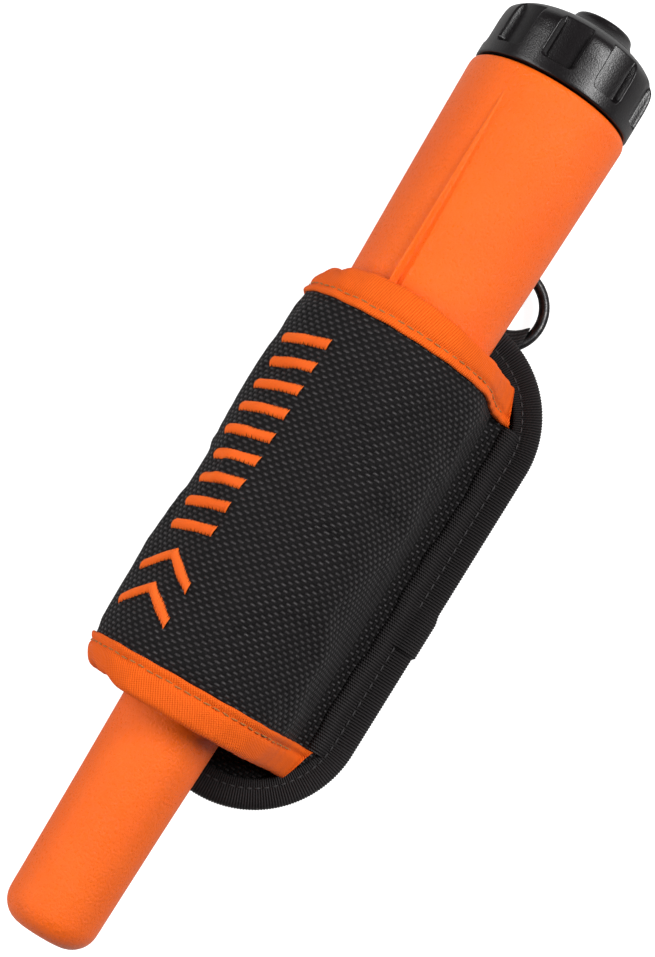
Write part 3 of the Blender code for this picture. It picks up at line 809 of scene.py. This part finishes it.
def make_sleeve(slack):
    shares = np.linspace(0, 1, LINE_POINTS)
    rings, pattern = [], []
    for x in np.linspace(SLEEVE_LOW.x - 1.5, SLEEVE_HIGH.x + 1.5, 150):
        line = line_at(x)
        normals = outward(line)
        lift = slack_at(slack, x, shares)
        y, z = line.T
        low_down = z < BASE_Z + 3
        crease = 0.4 * np.exp(-(((y - SEAM_Y) / 0.8) ** 2)) * low_down
        pucker = 0.1 * np.sin(x * 1.9) * np.exp(-(((y - SEAM_Y - 1.5) / 2.0) ** 2)) * low_down
        under = ease((4.0 - min(x - SLEEVE_LOW.x, SLEEVE_HIGH.x - x)) / 4.0) * 0.25
        outer = line + normals * (SLEEVE_HALF + lift - crease + pucker - under)[:, None]
        inner = line - normals * (SLEEVE_HALF - np.maximum(lift, 0))[:, None]
        along = np.full(2 * LINE_POINTS, x)
        across = np.append(shares, shares[::-1]) * distances(line)[-1]
        rings.append(np.column_stack([along, np.concatenate([outer, inner[::-1]])]))
        pattern.append(np.column_stack([across, along, 0 * along]))
    # The second colour is the painted highlight on the proud weft yarns.
    look = woven_nylon("black_nylon_look", 1.0, (0.036, 0.0325, 0.034))
    add_piece("sleeve_cloth", grid_solid(rings), "holster", look, ["sleeve"], pattern, 60)


def edging(name, profile, node, look, folds, pull, lean, dip=0.0, skew=0.0):
    """A folded tape swept across the sleeve. profile is a closed loop of (x, lift) points.

    Where the tape turns down the probe's far side, folds is how far its free edge wanders, pull is how much
    shorter it gets and lean is how far it tips inwards. dip is how much shorter it is over the near slope.
    skew is how far the whole tape runs up the sleeve by the flap.
    """
    rings, pattern = [], []
    along_profile = distances(profile)
    lines = [line_at(x) for x, _ in profile]
    sides = [outward(line) for line in lines]
    lengths = [distances(line)[-1] for line in lines]
    cloth_edge = profile[0][0]
    width = max(abs(x - cloth_edge) for x, _ in profile)
    for j, share in enumerate(np.linspace(0, 1, LINE_POINTS)):
        pucker = 0.09 * sin(share * 95.0) + 0.06 * sin(share * 41.0 + 1.0)
        far_side = ease((0.42 - share) / 0.15)
        near_slope = ease((share - 0.5) / 0.2) * (1 - ease((share - 0.76) / 0.22))
        fold = folds * far_side * sin(share * 78.0)
        shift = skew * ease(share - 0.1) + 0.5 * pucker
        shorter = pull * far_side + dip * near_slope
        ring = []
        for k, (x, lift) in enumerate(profile):
            reach = (abs(x - cloth_edge) / width) ** 2
            height = lift + (pucker if lift > 0 else 0.0) + (0.5 * fold - lean * far_side) * reach
            y, z = lines[k][j] + sides[k][j] * height
            ring.append((x + shift + fold * reach + copysign(shorter * reach, cloth_edge - x), y, z))
        rings.append(ring)
        pattern.append([(share * length, spot, 0) for length, spot in zip(lengths, along_profile)])
    add_piece(name, grid_solid(rings), "holster", look, [node], pattern, sharp=60)


def tape_profile(cloth_edge, free_edge):
    """The folded tape's loop of (x, lift): a lip, a stitched groove, a soft body and a rolled edge."""
    way = 1.0 if free_edge > cloth_edge else -1.0
    width = abs(free_edge - cloth_edge)
    outside = [(0.0, 0.75), (0.05, 1.25), (0.35, 1.52), (1.0, 1.5), (1.5, 1.3), (1.95, 1.05), (2.4, 1.25)]
    outside += [(3.1, 1.6), (4.5, 1.75), (width - 1.6, 1.62), (width - 0.6, 1.3), (width - 0.1, 0.7)]
    inside = [(width, 0.0), (width - 0.1, -0.6), (width - 0.8, -1.15)]
    inside += [(4.0, -1.35), (0.6, -1.35), (0.1, -1.05)]
    loop = curve_through(outside + inside, 46)
    return [(cloth_edge + way * d, lift) for d, lift in loop]


STITCH_PITCH = 2.2
STITCH_LIFT = 1.15
STITCH_ROW = (0.02, 0.965)


def stitch_row(name, place_x, look, skew=0.0):
    """Straight stitches in a trim's groove, each dipping into the tape at its ends."""
    length = distances(line_at(place_x))[-1]
    first, last = STITCH_ROW
    count = int(length * (last - first) / STITCH_PITCH)
    shapes = []
    for k in range(count):
        share = first + (last - first) * k / count
        span = 0.78 * STITCH_PITCH / length
        x = place_x + skew * ease(share - 0.1)
        start, up = on_cloth(x + 0.12 * sin(k * 2.1), share, STITCH_LIFT)
        end, _ = on_cloth(x + 0.12 * cos(k * 1.7), share + span, STITCH_LIFT)
        shapes.append(capsule(start, end, 0.19, up, lift=0.12))
    add_piece(name, merged(shapes), "holster", look)


TOE_SKEW = 2.4


def make_edgings():
    mouth_low, mouth_high = node_box("mouth_trim")
    toe_low, toe_high = node_box("toe_trim")
    # The darker orange is painted shade in the rib grooves, the lighter one a painted highlight on the rib
    # tops.
    look = ribbed_tape("orange_webbing_look", 0.55, (0.80, 0.085, 0.002), (0.97, 0.165, 0.012))
    mouth = tape_profile(mouth_low.x - 0.2, mouth_high.x + 0.4)
    toe = tape_profile(toe_high.x + 0.2, toe_low.x)
    edging("mouth_edging", mouth, "mouth_trim", look, folds=0.3, pull=1.6, lean=1.5, dip=1.5)
    edging("toe_edging", toe, "toe_trim", look, folds=0.45, pull=2.0, lean=0.9, skew=TOE_SKEW)
    tan = sewing_thread("tan_thread_look", (0.30, 0.10, 0.018), (0.52, 0.20, 0.05))
    stitch_row("mouth_stitches", mouth_low.x + 1.75, tan)
    stitch_row("toe_stitches", toe_high.x - 1.75, tan, TOE_SKEW)


SATIN_PITCH = 0.3
CLOTH_LENGTH = 96.0


def satin_bar(corners, slack):
    """A satin-stitched bar on the sleeve, between two (x, share) corners at its start and two at its end."""
    first, second, third, fourth = (np.array(corner) for corner in corners)
    run = hypot(*(third - first) * (1, CLOTH_LENGTH))
    count = max(3, int(run / SATIN_PITCH))
    shapes = []
    for k in range(count):
        t = (k + 0.5) / count
        wander = 0.07 * sin(k * 12.9) + 0.05 * sin(k * 4.1)
        start = first + (third - first) * t + (wander, wander / CLOTH_LENGTH)
        end = second + (fourth - second) * t - (wander * 0.8, wander / CLOTH_LENGTH)
        ends = (on_cloth(*place, 1.0 + slack_at(slack, *place)) for place in (start, end))
        (start, up), (end, _) = ends
        shapes.append(capsule(start, end, 0.23, up, lift=0.42, flat=0.9, rings=6))
    return shapes


EMBLEM_SHARES = (0.285, 0.395)
BARS_X = [-14.0 + 5.8 * k for k in range(9)]
BAR_LEAN = 2.4
BAR_WIDTH = 2.5
CHEVRONS_X = (-33.5, -25.0)
CHEVRON_POINT = 5.2
CHEVRON_WIDTH = 2.8
CHEVRON_SPREAD = 0.015


def make_emblem(slack):
    """A plain row of slanted bars, with a pair of chevrons at the toe's end."""
    low, high = EMBLEM_SHARES
    bars = [[(x, low), (x + BAR_LEAN, high)] for x in BARS_X]
    for x in CHEVRONS_X:
        point = (x + CHEVRON_POINT, (low + high) / 2)
        bars += [[(x, low - CHEVRON_SPREAD), point], [point, (x, high + CHEVRON_SPREAD)]]
    shapes = []
    for k, bar in enumerate(bars):
        width = BAR_WIDTH if k < len(BARS_X) else CHEVRON_WIDTH
        corners = [(x + step, share) for x, share in bar for step in (0, width)]
        shapes += satin_bar(corners, slack)
    look = sewing_thread("orange_thread_look", (0.82, 0.10, 0.002), (0.98, 0.18, 0.01))
    add_piece("sleeve_emblem", merged(shapes), "holster", look)


# ---- holster back

PANEL_LEAN = radians(-0.67)
PANEL_MIDDLE = np.array(((PANEL_ENDS[0] + PANEL_ENDS[1]) / 2, PANEL_Y))


def leaned(points):
    """Turns (x, y, z) points with the panel, whose length lies a little off the probe's."""
    points = np.array(points, float)
    away = points[..., :2] - PANEL_MIDDLE
    along, across = cos(PANEL_LEAN), sin(PANEL_LEAN)
    points[..., :2] = PANEL_MIDDLE + away @ np.array(((along, across), (-across, along)))
    return points


def stadium(reach, count):
    """Even (x, y) points round the panel at one reach from its centre line, and each point's way out."""
    low, high = PANEL_ENDS
    straight = high - low
    bend = pi * PANEL_REACH
    spots = np.arange(count) * (2 * straight + 2 * bend) / count
    centres, ways = [], []
    for spot in spots:
        side = 1 if spot < straight + bend else -1
        past = spot if side > 0 else spot - straight - bend
        start, end = (low, high) if side > 0 else (high, low)
        turn = max(past - straight, 0.0) / PANEL_REACH
        centres.append((start + side * past if past < straight else end, PANEL_Y))
        ways.append((side * sin(turn), -side * cos(turn)))
    ways = np.array(ways)
    return np.array(centres) + reach * ways, ways, spots


PAD_REACHES = [0.6, 3, 6, 9, 12, 14.5, 16.5, 18.2, 19.6, 21, 23, 24.3]
PAD_HELD_REACH = 19.0
PAD_PRESSURE = 4.0
PAD_LIMIT = 0.7


def make_panel():
    """The padded back, blown up softly between the bindings by a cloth simulation."""
    low, high = node_box("back_panel")
    count = 150
    rings, reaches = [], PAD_REACHES + PAD_REACHES[::-1]
    for k, reach in enumerate(reaches):
        inset = 0.35 if reach < PAD_HELD_REACH else 0.5
        z = high.z - inset if k < len(PAD_REACHES) else low.z + inset
        rings.append(np.column_stack([stadium(reach, count)[0], np.full(count, z)]))
    start, faces = grid_solid(rings)
    triangles = [[0, i, i + 1] for i in range(1, count - 1)]
    caps = [faces.pop(), faces.pop()]
    faces += [[cap[i] for i in triangle] for cap in caps for triangle in triangles]
    moved = start
    held = np.flatnonzero(np.repeat(np.array(reaches) > PAD_HELD_REACH, count))
    moved = settled(start, faces, held, PAD_PRESSURE, 0.0)
    shape = (leaned(start + np.clip(moved - start, -PAD_LIMIT, PAD_LIMIT)), faces)
    # The second colour is the painted highlight on the proud weft yarns.
    look = woven_nylon("panel_nylon_look", 0.9, (0.03, 0.0275, 0.029))
    pattern = start[:, [1, 0, 2]]
    add_piece("panel_pad", shape, "holster", look, ["back_panel"], pattern, sharp=70)


RIB_PITCH = 0.66
RIB_HEIGHT = 0.18
RIB_STEPS = 4
TAPE_OVERLAP_X = -9.2
BLACK_THREAD = ((0.015, 0.014, 0.015), (0.075, 0.07, 0.072))


def black_tape(name, rib=RIB_PITCH, roughness=0.5, weave=0.5):
    # The dark colour is painted shade in the rib grooves, the light one a painted highlight on the rib tops.
    return ribbed_tape(name, rib, (0.003, 0.0027, 0.0029), (0.036, 0.032, 0.033), roughness, weave)


def ribs(count):
    """The height of the ribs at even steps along a tape, of which RIB_STEPS make one rib."""
    return RIB_HEIGHT * (0.5 + 0.5 * np.cos(np.arange(count) * tau / RIB_STEPS))


def make_binding():
    """Ribbed tape folded over the panel's edge. Its two ends overlap on the flap's side, and make a step."""
    total = 2 * (PANEL_ENDS[1] - PANEL_ENDS[0]) + tau * PANEL_REACH
    count = int(total / RIB_PITCH) * RIB_STEPS
    _, ways, spots = stadium(PANEL_REACH, count)
    lead = spots - (TAPE_OVERLAP_X - PANEL_ENDS[0])
    swell = ribs(count) + 0.55 * ease(lead / 0.5) * (1 - ease((lead - 9.0) / 3.0))
    half, mid = (PANEL_HIGH.z - PANEL_LOW.z) / 2, (PANEL_HIGH.z + PANEL_LOW.z) / 2
    loop = [(-6.9, -0.75), (-7.0, -0.3), (-6.6, 0.02), (-5.6, 0.05), (-5.0, -0.2), (-4.6, -0.25)]
    loop = shifted(loop + [(-4.1, -0.05), (-2.8, 0.1), (-1.5, -0.1), (-0.5, -0.75)], 0, half)
    loop += [(-0.05, half * 0.4), (0.0, 0.0)]
    outside = curve_through(loop + [(d, -z) for d, z in loop[::-1][1:]], 40)
    inside = [(-6.7, 0.7 - half), (-1.2, 0.85 - half), (-0.75, 0.0), (-1.2, half - 0.85), (-6.7, half - 0.7)]
    rings, pattern = [], []
    for k, (d, z) in enumerate(outside + inside):
        steep = atan2(z, 2.0)
        out, up = (cos(steep), sin(steep)) if d >= -2 else (0.0, copysign(1.0, z))
        lift = swell if k < len(outside) else 0 * swell
        points = stadium(PANEL_REACH + d, count)[0] + ways * (lift * out - 0.1)[:, None]
        rings.append(leaned(np.column_stack([points, mid + z + lift * up])))
        pattern.append(np.column_stack([spots, np.full(count, d + k * 0.3), 0 * spots]))
    shape = grid_solid(rings, close_rows=True)
    look = black_tape("binding_look")
    add_piece("panel_binding", shape, "holster", look, ["edge_binding"], pattern, sharp=80)
    make_binding_stitches(mid, half)


def make_binding_stitches(mid, half):
    """One row of stitches along the binding's groove, on the front and the back."""
    points, _, _ = stadium(PANEL_REACH - 4.85, 130)
    shapes = []
    for start, end in zip(points, np.roll(points, -1, axis=0)):
        reach = start + (end - start) * 0.72
        for side in (1, -1):
            z = mid + side * (half - 0.08)
            shapes.append(capsule(*leaned([(*start, z), (*reach, z)]), 0.22, (0, 0, side), lift=0.12))
    look = sewing_thread("black_thread_look", *BLACK_THREAD)
    add_piece("binding_stitches", merged(shapes), "holster", look)


def make_flap_tape():
    """The ribbed strip that folds over the sleeve's flap, between the seam and the panel's binding."""
    start_x, end_x = SLEEVE_LOW.x + 2.6, SLEEVE_HIGH.x + 0.5
    count = int((end_x - start_x) / RIB_PITCH) * RIB_STEPS
    top = BASE_Z + SLEEVE_HALF
    loop = [(2.2, -0.05), (1.7, 0.42), (0.9, 0.5), (0, 0.4), (-0.9, -0.2), (-1.6, -1.3), (-2.1, -2.2)]
    outside = curve_through(shifted(loop, FLAP_Y, top), 18)
    inside = shifted([(-1.4, -2.3), (-0.45, -1.0), (1.8, 0.05)], FLAP_Y, top)
    rings, pattern = [], []
    for x, rib in zip(np.linspace(start_x, end_x, count), ribs(count)):
        wander = 0.25 * sin(x * 0.19) + 0.12 * sin(x * 0.61)
        end_fade = ease(min(x - start_x, end_x - x) / 1.5)
        ring = shifted(outside, wander, rib - 0.4 * (1 - end_fade)) + shifted(inside, wander, 0)
        rings.append([(x, *point) for point in ring])
        pattern.append([(x, i * 0.3, 0) for i in range(len(ring))])
    shape = grid_solid(leaned(rings))
    look = black_tape("flap_tape_look")
    add_piece("flap_tape", shape, "holster", look, pattern=pattern, sharp=80)


def make_foot_tape():
    """The tape that closes the seam between the sleeve's foot and the panel's far edge."""
    start_x, end_x = node_box("toe_trim")[0].x + 2.0, node_box("mouth_trim")[1].x - 2.0
    under = BASE_Z - SLEEVE_HALF
    on_sleeve = [(-2, 0.4), (0, 0.6), (2, 0.8), (4, 1.3), (5.1, 1.6), (5.4, 1.05), (4.1, 0.3)]
    on_panel = [(1.3, -0.5), (0.65, -1.4), (0.5, -2.2), (0.1, -2.8), (-0.4, -2.5), (-0.6, -1.5)]
    on_panel += [(-1.6, -0.8), (-3.6, -0.8), (-4.8, -0.4)]
    rings, pattern = [], []
    for x in np.arange(start_x, end_x, RIB_PITCH / 2):
        past = max(x - PANEL_ENDS[1], PANEL_ENDS[0] - x, 0.0)
        edge = PANEL_Y + sqrt(PANEL_REACH**2 - past**2)
        upper = [(x, *point) for point in shifted(on_sleeve, FOOT_Y, under)]
        lower = leaned([(x, *point) for point in shifted(on_panel, edge, under)])
        rings.append(np.concatenate([upper, lower]))
        pattern.append([(x, i * 1.2, 0) for i in range(len(rings[0]))])
    look = black_tape("foot_tape_look")
    add_piece("foot_tape", grid_solid(rings), "holster", look, pattern=pattern, sharp=60)


def swept_strap(line, low_y, high_y, thickness, steps_across=1):
    """((points, faces), pattern) of webbing with rounded edges along an (x, z) line."""
    line = np.array(curve_through(line, 120))
    half = thickness / 2
    between = np.linspace(high_y - half, low_y + half, steps_across + 1)[1:-1]
    section = arc((high_y - half, 0), half, half, 90, -90, 6) + [(y, -half) for y in between]
    section += arc((low_y + half, 0), half, half, 270, 90, 6) + [(y, half) for y in between[::-1]]
    rings, pattern = [], []
    for (x, z), normal, at in zip(line, -outward(line), distances(line)):
        rings.append([(x + normal[0] * lift, y, z + normal[1] * lift) for y, lift in section])
        pattern.append([(at, y, 0) for y, _ in section])
    return grid_solid(rings), pattern


def box_stitch(x_low, x_high, y_low, y_high, z):
    """A rectangle of stitches on the belt loop's sewn end, seen from below."""
    shapes = []
    corners = [(x_low, y_low), (x_high, y_low), (x_high, y_high), (x_low, y_high), (x_low, y_low)]
    for start, end in zip(corners, corners[1:]):
        start, end = np.array(start), np.array(end)
        count = max(1, int(np.linalg.norm(end - start) / STITCH_PITCH))
        for k in range(count):
            ends = [(*(start + (end - start) * (k + share) / count), z) for share in (0.1, 0.85)]
            shapes.append(capsule(*ends, 0.22, (0, 0, -1), lift=0.1))
    return shapes


STRAP_FLAT = 30.0
STRAP_SLOPE = 11.0


def make_belt_loop():
    """The webbing on the panel's back that a belt passes under, with its two sewn ends."""
    low, high = node_box("belt_loop")
    half = 0.8
    sewn = high.z - half
    sides = []
    for way, end in ((-1, low.x + 0.4), (1, high.x - 0.4)):
        top = way * (STRAP_FLAT + STRAP_SLOPE)
        side = [(end, sewn), (top, sewn), (top - way * 2.5, sewn - 0.6)]
        side += [(way * (STRAP_FLAT + 2.5), half + 0.6), (way * STRAP_FLAT, half), (way * 5, half)]
        sides.append(side)
    line = sides[0] + sides[1][::-1]
    look = black_tape("belt_webbing_look", 1.1, 0.55, 0.9)
    shape, pattern = swept_strap(line, low.y, high.y, 2 * half)
    add_piece("belt_strap", shape, "holster", look, ["belt_loop"], pattern, sharp=60)
    inset = 2.5
    sewn_start = STRAP_FLAT + STRAP_SLOPE + 0.7
    bottom = sewn - half - 0.02
    shapes = box_stitch(low.x + 1.5, -sewn_start, low.y + inset, high.y - inset, bottom)
    shapes += box_stitch(sewn_start, high.x - 1.5, low.y + inset, high.y - inset, bottom)
    thread = sewing_thread("loop_thread_look", *BLACK_THREAD)
    add_piece("belt_strap_stitches", merged(shapes), "holster", thread)


TAB_FOLD = 2.7
TAB_THICKNESS = 1.2
TAB_HALF_WIDTH = 7.8
RING_LOW, RING_HIGH = node_box("ring")
RING_CENTRE = middle("ring")
WIRE_RADIUS = (RING_HIGH.z - RING_LOW.z) / 2 + 0.03
RING_RADIUS = (RING_HIGH.x - RING_LOW.x) / 2 - WIRE_RADIUS
RING_GAP_AT = pi * 0.72


def make_ring_webbing():
    """The webbing that wraps the arc of the ring nearest the panel."""
    low, high = node_box("ring_tab")
    centre_y = RING_CENTRE.y
    x, z = high.x - TAB_FOLD - TAB_THICKNESS / 2, low.z + TAB_FOLD + TAB_THICKNESS / 2
    line = [(start, z + TAB_FOLD) for start in (low.x + 0.3, 53, 58)]
    line += arc((x, z), TAB_FOLD, TAB_FOLD, 90, -198, 16)
    span = (centre_y - TAB_HALF_WIDTH, centre_y + TAB_HALF_WIDTH)
    shape, pattern = swept_strap(line, *span, TAB_THICKNESS, steps_across=14)
    points = shape[0]
    off_middle = np.minimum(np.abs(points[:, 1] - centre_y), RING_RADIUS - 0.5)
    arc_depth = RING_RADIUS - np.sqrt(RING_RADIUS**2 - off_middle**2)
    points[:, 0] += (arc_depth + 0.8) * ease((points[:, 0] - 54) / 7)
    points[:, 2] += 0.12 * np.sin(points[:, 1] * 1.3) * ease((points[:, 0] - 54) / 7)
    look = black_tape("tab_webbing_look", 0.9, 0.55, 0.7)
    swing = ("ring", (x - 5.5, centre_y, z), (x + 1.5, centre_y, z))
    add_piece("ring_webbing", shape, "holster", look, ["ring_tab"], pattern, 60, swing)


def make_ring_wire():
    """The dark wire ring, with a hairline seam where its ends meet."""
    section = np.arange(20) * tau / 20
    rings = []
    for turn in np.arange(96) * tau / 96:
        wire = WIRE_RADIUS - 0.06 * exp(-(((turn - RING_GAP_AT) / 0.02) ** 2))
        spread = RING_RADIUS + wire * np.cos(section)
        ring = [spread * cos(turn), spread * sin(turn), wire * np.sin(section)]
        rings.append(np.column_stack(ring) + RING_CENTRE)
    shape = grid_solid(rings, close_rows=True)
    add_piece("ring_wire", shape, "ring", dark_metal(), ["ring"])


# ---- stage

WHITE_TO_CAMERA = 0.95
FLOOR_SIZE = 4.0
FLOOR_Z = -0.0005


def floor_material():
    """A pale floor that looks white to the camera and throws only a little light up at the object."""
    n = Nodes("floor_look")
    soft = n.noise(n.place(), 0.004, detail=1.0)
    return n.finish(
        Base_Color=n.mix(soft, (0.4, 0.4, 0.4), (0.43, 0.43, 0.43)),
        Roughness=0.9,
        Emission_Color=(1.0, 1.0, 1.0),
        Emission_Strength=n.seen(0.05, WHITE_TO_CAMERA),
        Specular_IOR_Level=0.1,
    )


def make_floor():
    mesh = bpy.data.meshes.new("floor")
    corners = [(x * FLOOR_SIZE, y * FLOOR_SIZE, 0) for x, y in ((-1, -1), (1, -1), (1, 1), (-1, 1))]
    mesh.from_pydata(corners, [], [(0, 1, 2, 3)])
    mesh.materials.append(floor_material())
    floor = placed("floor", mesh)
    floor.location.z = FLOOR_Z


LIGHT_TARGET = (0.02, 0.0, 0.03)


def add_softbox(name, location, size, power):
    """size is the light's width along the probe, and its height."""
    light = bpy.data.lights.new(name, "AREA")
    light.shape = "RECTANGLE"
    light.size, light.size_y = size
    light.energy = power
    item = placed(name, light)
    item.location = location
    item.rotation_mode = "QUATERNION"
    item.rotation_quaternion = (Vector(LIGHT_TARGET) - Vector(location)).to_track_quat("-Z", "Y")


def make_lights():
    """A white backdrop that gives weak even light, and a softbox on each side."""
    world = Nodes("studio", world=True)
    bpy.context.scene.world = world.finish(Color=(1.0, 1.0, 1.0), Strength=world.seen(0.06, WHITE_TO_CAMERA))
    add_softbox("softbox_flap_side", (0.42, -0.50, 0.70), (0.62, 0.17), 9.6)
    add_softbox("softbox_far_side", (-0.15, 0.60, 0.56), (1.10, 0.15), 6.8)


CAMERA_DISTANCE = 0.600
CAMERA_TILT = radians(5.7)
CAMERA_ROLL = radians(31.47)
CAMERA_TARGET = (13.35, -1.7)
CAMERA_LENS = 104.01254
CAMERA_SENSOR = 36.0


def make_camera():
    """Looks down on the probe, a little from its tip's side, with the probe leaning right in the frame."""
    data = bpy.data.cameras.new("camera")
    data.sensor_width = CAMERA_SENSOR
    data.lens = CAMERA_LENS
    camera = placed("camera", data)
    turn = Matrix.Rotation(-CAMERA_TILT, 4, "Y") @ Matrix.Rotation(CAMERA_ROLL - pi / 2, 4, "Z")
    target = Matrix.Translation(Vector((*CAMERA_TARGET, AXIS_Z)) * MM)
    camera.matrix_world = target @ turn @ Matrix.Translation((0, 0, CAMERA_DISTANCE))
    data.clip_start = 0.01
    data.clip_end = 10.0
    bpy.context.scene.camera = camera


def main():
    make_housing()
    make_depth_ticks()
    make_cap()
    make_button()
    slack = sleeve_slack()
    make_sleeve(slack)
    make_edgings()
    make_emblem(slack)
    make_panel()
    make_binding()
    make_flap_tape()
    make_foot_tape()
    make_belt_loop()
    make_ring_webbing()
    make_ring_wire()
    paint_inner_nodes()
    make_floor()
    make_lights()
    make_camera()
    bpy.context.scene.view_settings.view_transform = "Standard"


main()
